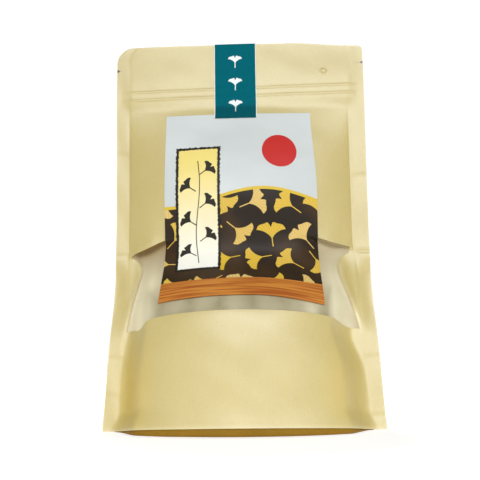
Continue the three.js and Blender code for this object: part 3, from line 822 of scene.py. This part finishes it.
nut_mesh.attributes.new("tone", "FLOAT", "POINT").data.foreach_set("value", np.concatenate(tones))
nut_mesh.shade_smooth()
nuts = bpy.data.objects.new("nuts", nut_mesh)
bpy.context.scene.collection.objects.link(nuts)
nut_shell = Finish("nut_shell", Roughness=0.5)
tone = nut_shell.add("ShaderNodeAttribute", {"attribute_name": "tone"}, {}, 2)
place = nut_shell.add("ShaderNodeTexCoord", {}, {}, 3)
speckle = nut_shell.add("ShaderNodeTexNoise", {}, {"Vector": place, "Scale": 500.0, "Detail": 3.0})
shell = nut_shell.mix(tone, srgb(222, 182, 118), srgb(238, 214, 160))
nut_shell.surface(Base_Color=nut_shell.mix(speckle.soft(0.5, 0.8) * 0.4, shell, srgb(176, 128, 70)))
fit(nuts, "nut_fill", nut_shell)


# Window film: a strip of frosted film laminated behind the window, slack enough to sink in beside
# the paper's edges. It is milky: nuts that press on it show as soft pale patches, the dark gaps
# between them as painted shade, and above the filling it stays light. Its right half gets a little
# painted shade, and a painted shadow lies under the paper's flap along the window's top.
FILM_GAP = 0.05
FILM = 0.2
FILM_LAP = 0.85
NUT_REACH = 10.3
NUT_BLUR = 4.5
FILM_DIP = 0.15
FILM_DIP_IN = 0.03
FILM_DIP_HALF = 0.04
FILM_DIP_RISE = (62, 70)
FILM_LOOSE = (0.3, 0.6)
FILM_SLACK = 0.2
SLACK_WAVES = (31, 23, 17)
SLACK_SEED = 21
LEFT_OF_NUTS = (0.58, 0.76)
RIGHT_OF_NUTS = (0.6, 0.68)
ABOVE_NUTS = (FILL_TOP - 5, FILL_TOP + 11)
PATCH = 0.6
PATCH_ACROSS = 0.5
PATCH_HALF_WIDTH = 0.055
PATCH_HEIGHT = 62.0
PATCH_HALF_HEIGHT = 7.0
PRESSED_LIGHT = 0.25
# Painted shade over the film's right half.
RIGHT_HALF_SHADE = 0.2
RIGHT_HALF_SHADE_RISE = (-0.3, 0.3)
FLAP_SHADES = (0.95, 0.6)
FLAP_SHADE_REACH = 16.0
FLAP_SHADE_LOSS = 0.6
FLAP_SHADE_FALL = (0.8, 0.9)
CORNER_SHADES = (0.3, 0.45)
CORNER_SHADE_RISE = (0.76, 0.88)
CORNER_SHADE_FALL = (62, 80)
RIM_SHADES = (0.5, 0.3)
RIM_SHADE_HALF = 0.016
LABEL_SHADE = 0.2
LABEL_SHADE_FALL = (LABEL_EDGE + 0.01, LABEL_EDGE + 0.1)
LABEL_SHADE_RISE = (66, 80)
BELOW_FLAP = (2, 10)
film_columns = columns[np.abs(columns) <= FILM_LAP]
film_rows = slice(first_window_row - 4, first_window_row + len(window_rows) + 4)
across, height = (grid[film_rows] for grid in front_grid(film_columns))
film = panel_point(1, across, height)
out = np.abs(across)
edge = window_side(across, height) - out
dip = FILM_DIP * hump(edge, FILM_DIP_IN, FILM_DIP_HALF) * ease(height, *FILM_DIP_RISE)
slack = FILM_SLACK * ripples(across, height, SLACK_WAVES, SLACK_SEED) * ease(out, *FILM_LOOSE)
film_normals = normals_of(film)
sunk = PAPER + FILM_GAP + dip + np.maximum(slack, 0) - HEM * hem_rise(across, height)
film = film - film_normals * sunk[..., None]
nut_distance = np.min([np.linalg.norm(film - centre, axis=2) for centre in centres], axis=0)
pressed = 1 - ease(nut_distance, NUT_REACH, NUT_REACH + NUT_BLUR)
beside_nuts = by_side(across, ease(-across, *LEFT_OF_NUTS), ease(across, *RIGHT_OF_NUTS))
clear = np.maximum(ease(height, *ABOVE_NUTS), beside_nuts)
patch = hump(across, PATCH_ACROSS, PATCH_HALF_WIDTH) * hump(height, PATCH_HEIGHT, PATCH_HALF_HEIGHT)
clear = np.maximum(clear, PATCH * patch)
# Painted shade: darker where the gaps between the nuts lie behind the film and towards its right half;
# paler where nuts press on it, above the filling, beside it and in a patch right of the label.
lightness = clear + (1 - clear) * PRESSED_LIGHT * pressed
lightness = lightness * (1 - RIGHT_HALF_SHADE * ease(across, *RIGHT_HALF_SHADE_RISE))
# Painted shadow under the paper's flap along the window's top, and painted shade in the window's lower
# corners, beside the label and along its side edges.
under = np.maximum(window_top(across) - height, 0)
shade = np.exp(-under / FLAP_SHADE_REACH) * by_side(across, *FLAP_SHADES)
shade = shade * ease(out, *FILM_LOOSE) * (1 - FLAP_SHADE_LOSS * ease(out, *FLAP_SHADE_FALL))
corner = ease(out, *CORNER_SHADE_RISE) * (1 - ease(height, *CORNER_SHADE_FALL))
shade = shade + by_side(across, *CORNER_SHADES) * corner
beside_label = (1 - ease(out, *LABEL_SHADE_FALL)) * ease(height, *LABEL_SHADE_RISE)
shade = shade + LABEL_SHADE * beside_label * ease(under, *BELOW_FLAP) * (1 - shade)
shade = np.maximum(shade, by_side(across, *RIM_SHADES) * hump(edge, 0, RIM_SHADE_HALF))
film_piece = slab(
    "frosted_window", film, film - film_normals * FILM, flat_lay(across, height),
    lightness=lightness, shade=shade)
frosted = Finish("frosted_film", Roughness=0.5, Transmission_Weight=0.05, IOR=1.3)
x, y = frosted.flat_mm()
backing = frosted.add("ShaderNodeAttribute", {"attribute_name": "lightness"}, {}, 2)
haze = frosted.grain(x, y, 14.0, 11.0)
milk = frosted.mix(backing, srgb(157, 146, 112), srgb(254, 245, 208))
milk = frosted.mix(haze.soft(0.35, 0.75) * 0.15, milk, srgb(232, 225, 198))
dusk = frosted.add("ShaderNodeAttribute", {"attribute_name": "shade"}, {}, 2)
frosted.surface(Base_Color=frosted.mix(dusk, milk, srgb(134, 99, 32)))
fit(film_piece, "window_film", frosted)


# Front label: a gloss printed paper label, stuck across the front panel and the window. A pale sky
# with a red disc over a dark ground of golden fan leaves, a cream slip with a leafy branch in dark
# ink, and an orange timber foot.
LABEL_GAP = 0.3
LABEL_PAPER = 0.2
LABEL_TOP = 194.5
LABEL_BOTTOM = 67.6
LABEL_ARCH = 2.4
LABEL_DROOP = 2.2
DROOP_FROM = 0.1
LABEL_TAPER = 0.05
TAPER_FROM = 140.0
HORIZON = 70
HORIZON_SWELL = 5
DISC_X = 25
DISC_HEIGHT = 100
DISC_RADIUS = 11.0
TIMBER_TOP = 13
LEAF_CELL = 19.0
LEAF_SIZE = 12.0
LEAF_FOOT = 4.6
CELL_SHIFT = 200.0
STALK_HALF = 0.42
SLIP_X = -26
SLIP_HEIGHT = 62
SLIP_HALF_WIDTH = 12.5
SLIP_HALF_HEIGHT = 40
BRANCH_HALF = 0.4
BRANCH_SWAY = 1.3
BRANCH_MIDDLE = 60
BRANCH_HALF_LENGTH = 34
BRANCH_LEAVES = 6
BRANCH_LEAF = 7.5
BRANCH_LEAN = 0.95
LEAF_OFFSET = 4
FIRST_LEAF = 34
LEAF_STEP = 10.5
across, up = np.meshgrid(spread(-LABEL_EDGE, 72, LABEL_EDGE), spread(0, 110, 1))
label_bottom = LABEL_BOTTOM + LABEL_ARCH * (1 - (across / LABEL_EDGE) ** 2)
label_bottom = label_bottom - LABEL_DROOP * ease(across, DROOP_FROM, LABEL_EDGE)
height = label_bottom + (LABEL_TOP - label_bottom) * up
laid = across * (1 - LABEL_TAPER * (across > 0) * ease(height, TAPER_FROM, LABEL_TOP))
label = panel_point(1, laid, height)
label_normals = normals_of(label)
label_outer = label + label_normals * (LABEL_GAP + LABEL_PAPER)
label_piece = slab(
    "printed_label", label_outer, label + label_normals * LABEL_GAP,
    flat_lay(across, up * (LABEL_TOP - LABEL_BOTTOM)))


def fan_leaf(along, up, size):
    """Mask of a fan-shaped leaf that opens upwards from its foot at the origin, on a thin stalk."""
    reach = (along * along + up * up) ** 0.5
    angle = along.math("ARCTAN2", up)
    cleft = (angle * angle * -90).math("EXPONENT")
    rim_reach = ((angle * 9).math("COSINE") * 0.035 + 0.95 - cleft * 0.3) * size
    opening = (reach / size * 0.62 + 0.4) - abs(angle)
    blade = (rim_reach - reach).soft(0.0, 0.3) * opening.soft(0.0, 0.05)
    stalk = (STALK_HALF - abs(along)).soft(0.0, 0.2)
    stalk = stalk * (up + size * 0.5).soft(0.0, 0.3) * (size * 0.3 - up).soft(0.0, 0.3)
    return blade.math("MAXIMUM", stalk), angle


label_print = Finish("label_print", Roughness=0.55, Specular_IOR_Level=0.35)
x, y = label_print.flat_mm()
row_number = (y / LEAF_CELL).math("FLOOR")
odd = row_number.math("MODULO", 2.0)
stepped = x + odd * (LEAF_CELL / 2) + CELL_SHIFT
column_number = (stepped / LEAF_CELL).math("FLOOR")
cell = label_print.add("ShaderNodeCombineXYZ", {}, {0: column_number, 1: row_number})
chance = label_print.add("ShaderNodeTexWhiteNoise", {"noise_dimensions": "2D"}, {"Vector": cell})
turn = chance * (2 * math.pi)
cell_x = stepped - (column_number + 0.5) * LEAF_CELL
cell_y = y - (row_number + 0.5) * LEAF_CELL
turn_cos = turn.math("COSINE")
turn_sin = turn.math("SINE")
leaf_along = cell_x * turn_cos + cell_y * turn_sin
leaf_up = cell_y * turn_cos - cell_x * turn_sin + LEAF_FOOT
leaf, leaf_angle = fan_leaf(leaf_along, leaf_up, LEAF_SIZE)
veins = (leaf_angle * 34).math("SINE") * 0.5 + 0.5
gold = label_print.mix((chance * 7.13).math("FRACT"), srgb(228, 192, 52), srgb(232, 204, 132))
gold = label_print.mix(veins * 0.3, gold, srgb(186, 120, 34))
dusk = label_print.grain(x, y, 40.0, 40.0, 3.0)
ground = label_print.mix(dusk.soft(0.35, 0.7), srgb(36, 24, 10), srgb(66, 46, 24))
art = label_print.mix(leaf, ground, gold)
horizon = HORIZON + (x * 0.055 + 0.7).math("SINE") * HORIZON_SWELL
sky = label_print.mix(label_print.grain(x, y, 30.0, 60.0), srgb(200, 206, 203), srgb(222, 227, 225))
art = label_print.mix((y - horizon).soft(-0.15, 0.15), art, sky)
art = label_print.mix((1.1 - abs(y - horizon)).soft(0.0, 0.3), art, srgb(223, 189, 54))
disc_x = x - DISC_X
disc_y = y - DISC_HEIGHT
disc = DISC_RADIUS - (disc_x * disc_x + disc_y * disc_y) ** 0.5
art = label_print.mix(disc.soft(-0.15, 0.15), art, srgb(200, 36, 30))
grain_lines = label_print.grain(x, y, 1.1, 38.0, 3.0)
timber = label_print.mix(grain_lines.soft(0.3, 0.7), srgb(170, 88, 28), srgb(214, 140, 56))
art = label_print.mix((TIMBER_TOP - y).soft(-0.15, 0.15), art, timber)
ragged = (label_print.grain(x, y, 1.4, 1.4) - 0.5) * 1.6
slip_x = x - SLIP_X
slip_y = y - SLIP_HEIGHT
slip = (SLIP_HALF_WIDTH - abs(slip_x)).math("MINIMUM", SLIP_HALF_HEIGHT - abs(slip_y)) + ragged
art = label_print.mix(slip.soft(-1.5, -1.1), art, srgb(30, 24, 14))
cream = label_print.mix((y / 90).soft(0.2, 1.1), srgb(252, 251, 240), srgb(246, 224, 128))
twig_sway = (slip_y * 0.1).math("SINE") * BRANCH_SWAY
branch = (BRANCH_HALF - abs(slip_x - twig_sway)).soft(0.0, 0.25)
branch = branch * (BRANCH_HALF_LENGTH - abs(y - BRANCH_MIDDLE)).soft(0.0, 0.5)
for k in range(BRANCH_LEAVES):
    side = 1 if k % 2 else -1
    lean_cos = math.cos(side * BRANCH_LEAN)
    lean_sin = math.sin(side * BRANCH_LEAN)
    from_foot = slip_x - side * LEAF_OFFSET
    above_foot = y - (FIRST_LEAF + LEAF_STEP * k)
    leaf_along = from_foot * lean_cos - above_foot * lean_sin
    leaf_up = from_foot * lean_sin + above_foot * lean_cos
    twig, _ = fan_leaf(leaf_along, leaf_up, BRANCH_LEAF)
    branch = branch.math("MAXIMUM", twig)
cream = label_print.mix(branch, cream, srgb(38, 30, 18))
art = label_print.mix((slip - ragged * 0.4).soft(0.2, 0.6), art, cream)
label_print.surface(Base_Color=art)
fit(label_piece, "front_label", label_print)


# Seal strip: a printed paper strip folded over the pouch's top edge, glued down on the front, where
# it laps onto the label, and on the back. Teal, with three small fan leaves left white, and painted shade
# darkening its foot on the front.
STRIP_HALF = 13.6
STRIP_X = -2.6
STRIP_FRONT_END = 191.5
STRIP_BACK_END = 198.0
STRIP_LAID = 201.5
STRIP_PAPER = 0.2
STRIP_GAP = 0.3
LABEL_STEP = 0.5
STRIP_MARGIN = 0.6
STRIP_LEAF = 6.2
STRIP_LEAF_HEIGHTS = (8.0, 23.0, 38.5)
# How far up the strip's front foot the painted shade reaches, in mm.
STRIP_FOOT_SHADE_REACH = 11
strip_columns = spread((STRIP_X - STRIP_HALF) / HALF_WIDTH_TOP, 22, (STRIP_X + STRIP_HALF) / HALF_WIDTH_TOP)
strip_heights = spread(STRIP_FRONT_END, 110, HEIGHT)
strip_back_heights = spread(HEIGHT, 90, STRIP_BACK_END)


def strip_face(lift):
    """The strip's path up the front, over the top and down the back, a given way off the paper."""
    across, height = np.meshgrid(strip_columns, strip_heights)
    front = panel_point(1, across, height)
    over_label = LABEL_STEP * (1 - ease(height, LABEL_TOP, STRIP_LAID))
    front = front + normals_of(front) * (lift + over_label)[..., None]
    across, height = np.meshgrid(strip_columns[::-1], strip_back_heights[::-1])
    back = panel_point(-1, across, height)
    back = (back + normals_of(back) * lift)[::-1, ::-1]
    bend = []
    for angle in spread(0, 6, math.pi)[1:-1]:
        share = (1 - math.cos(angle)) / 2
        point = front[-1] * (1 - share) + back[0] * share
        bend.append(point + (0, 0, lift * math.sin(angle)))
    return np.concatenate((front, bend, back))


strip_outer = strip_face(STRIP_GAP + STRIP_PAPER)
length = np.concatenate(([0], np.cumsum(np.linalg.norm(np.diff(strip_outer[:, 0], axis=0), axis=1))))
strip_lay = np.stack(np.broadcast_arrays(strip_columns * HALF_WIDTH_TOP - STRIP_X, length[:, None]), -1)
strip_piece = slab("teal_strip", strip_outer, strip_face(STRIP_GAP), strip_lay)
strip_print = Finish("strip_print", Roughness=0.6, Specular_IOR_Level=0.03)
x, y = strip_print.flat_mm()
weave = strip_print.grain(x, y, 6.0, 0.5)
teal = strip_print.mix(weave, srgb(0, 92, 104), srgb(0, 107, 118))
for leaf_height in STRIP_LEAF_HEIGHTS:
    mark, _ = fan_leaf(x, y - leaf_height, STRIP_LEAF)
    teal = strip_print.mix(mark, teal, srgb(244, 248, 246))
# Painted shade: the strip's front foot is painted darker.
teal = strip_print.mix((STRIP_FOOT_SHADE_REACH - y).soft(0.0, 3.0) * 0.3, teal, srgb(20, 30, 34))
margin = (abs(x) - (STRIP_HALF - STRIP_MARGIN)).soft(0.0, 0.15)
strip_print.surface(Base_Color=strip_print.mix(margin, teal, srgb(236, 238, 226)))
fit(strip_piece, "seal_strip", strip_print)


# The set: a pale floor, a white surround that only the camera sees, soft light from the front and a
# weaker one from behind, and the camera low in front of the pouch, tilted up.
FLOOR_HALF = 4.0
FLOOR_FRONT = 0.18
SURROUND_RADIUS = 5.0
SURROUND_GLOW = 1.05
WORLD_GLOW = 0.24
WORLD_COLOUR = (1.0, 0.93, 0.8, 1)
LAMP_COLOUR = (0.96, 1.0, 1.06)
floor_corners = [
    (-FLOOR_HALF, -FLOOR_FRONT, 0), (FLOOR_HALF, -FLOOR_FRONT, 0),
    (FLOOR_HALF, FLOOR_HALF, 0), (-FLOOR_HALF, FLOOR_HALF, 0),
]
floor_mesh = bpy.data.meshes.new("floor")
floor_mesh.from_pydata(floor_corners, [], [(0, 1, 2, 3)])
floor = bpy.data.objects.new("floor", floor_mesh)
bpy.context.scene.collection.objects.link(floor)
floor_paint = Finish("floor_paint", Base_Color=(0.9, 0.9, 0.9, 1), Roughness=0.9, Emission_Strength=1.0)
# The floor glows, white far off and dimmer round the pouch, so that it lights the pouch less there and the
# dim ring is a painted shade on the ground.
spot = floor_paint.add("ShaderNodeTexCoord", {}, {}, 3)
away = floor_paint.add("ShaderNodeVectorMath", {"operation": "LENGTH"}, {0: spot}, 1).soft(0.09, 0.2)
floor_paint.surface(Emission_Color=floor_paint.mix(away, (0.43, 0.44, 0.47, 1), (1.0, 1.0, 1.0, 1)))
floor_mesh.materials.append(floor_paint.material)
bpy.ops.mesh.primitive_uv_sphere_add(segments=48, ring_count=24, radius=SURROUND_RADIUS)
surround = bpy.context.object
surround.name = "surround"
white = Finish("surround_white", Base_Color=(0, 0, 0, 1), Emission_Color=(1, 1, 1, 1))
white.surface(Emission_Strength=SURROUND_GLOW)
surround.data.materials.append(white.material)
surround.visible_diffuse = False
surround.visible_glossy = False
surround.visible_transmission = False
surround.visible_shadow = False

world = bpy.data.worlds.new("studio")
bpy.context.scene.world = world
world.use_nodes = True
world.node_tree.nodes["Background"].inputs["Color"].default_value = WORLD_COLOUR
world.node_tree.nodes["Background"].inputs["Strength"].default_value = WORLD_GLOW


def softbox(name, place, target, wide, tall, watts):
    """An area light that faces a point."""
    lamp = bpy.data.lights.new(name, "AREA")
    lamp.shape = "RECTANGLE"
    lamp.size = wide
    lamp.size_y = tall
    lamp.energy = watts
    lamp.color = LAMP_COLOUR
    box = bpy.data.objects.new(name, lamp)
    box.location = place
    aim = Matrix.Translation(target).translation - box.location
    box.rotation_euler = aim.to_track_quat("-Z", "Y").to_euler()
    bpy.context.scene.collection.objects.link(box)


softbox("key", (0.08, -1.0, 0.5), (0, 0, 0.14), 1.0, 0.42, 9.1)
softbox("fill", (-0.3, 1.1, 0.6), (0, 0, 0.12), 1.0, 0.6, 5.0)

CAMERA_PLACE = (12.2, -368.2, 39.1)
CAMERA_YAW = math.radians(2.01)
CAMERA_PITCH = math.radians(11.0)
CAMERA_ROLL = math.radians(-0.75)
FOCAL_PIXELS = 620
PHOTO_PIXELS = 480
lens = bpy.data.cameras.new("camera")
lens.sensor_width = 36.0
lens.lens = lens.sensor_width * FOCAL_PIXELS / PHOTO_PIXELS
lens.clip_start = 0.01
camera = bpy.data.objects.new("camera", lens)
bpy.context.scene.collection.objects.link(camera)
look = Matrix.Rotation(CAMERA_YAW, 4, "Z") @ Matrix.Rotation(math.pi / 2 + CAMERA_PITCH, 4, "X")
look = look @ Matrix.Rotation(CAMERA_ROLL, 4, "Z")
camera.matrix_world = Matrix.Translation([part * MM for part in CAMERA_PLACE]) @ look
bpy.context.scene.camera = camera
bpy.context.scene.view_settings.view_transform = "Standard"
